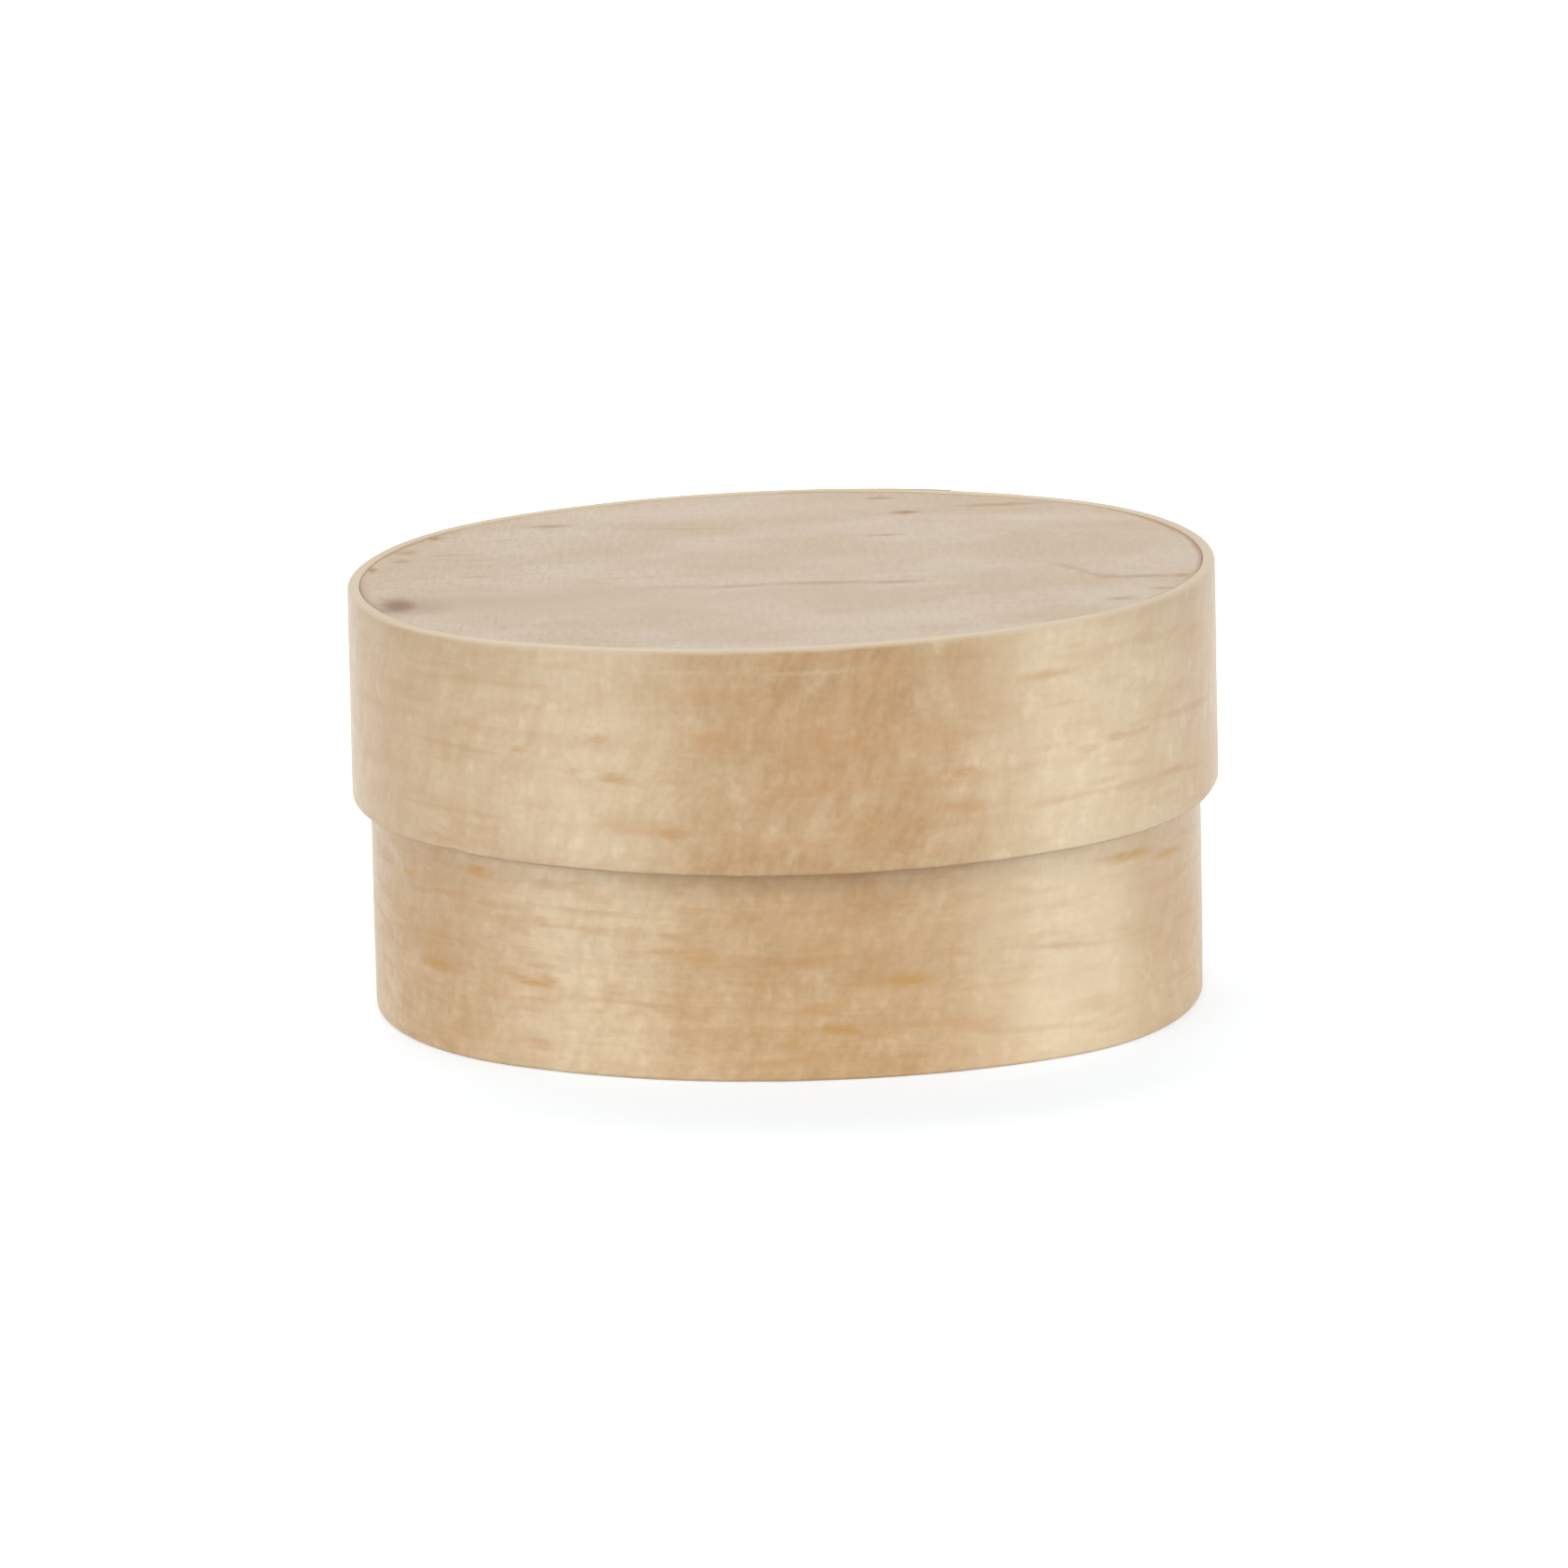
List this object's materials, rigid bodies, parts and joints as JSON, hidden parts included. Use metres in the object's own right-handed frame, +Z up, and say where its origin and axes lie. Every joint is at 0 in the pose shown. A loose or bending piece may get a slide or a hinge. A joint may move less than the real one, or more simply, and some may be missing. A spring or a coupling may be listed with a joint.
{
  "type": "cheese box",
  "caption": "Oval bentwood box with a flat inset top board and a deep slip-on lid that lifts straight off.",
  "frame": {"origin": "middle of the flat underside, where the box rests", "axes": "+Z up, the way the lid lifts off; +X along the oval; the laps of the bands are on the +Y side, the back"},
  "size_m": [0.106, 0.0784, 0.0538],
  "materials": {
    "base_veneer": "raw, finely sanded",
    "bottom_wood": "raw, finely sanded",
    "lid_veneer": "raw, finely sanded",
    "top_wood": "raw, finely sanded"
  },
  "bodies": {
    "base": {"base_band": "base_veneer", "bottom_board": "bottom_wood"},
    "lid": {"lid_band": "lid_veneer", "top_board": "top_wood"}
  },
  "joints": [
    {"name": "lid_lift", "type": "slide", "parent": "base", "child": "lid", "axis": [0, 0, 1], "range_m": [0, 0.045]}
  ]
}
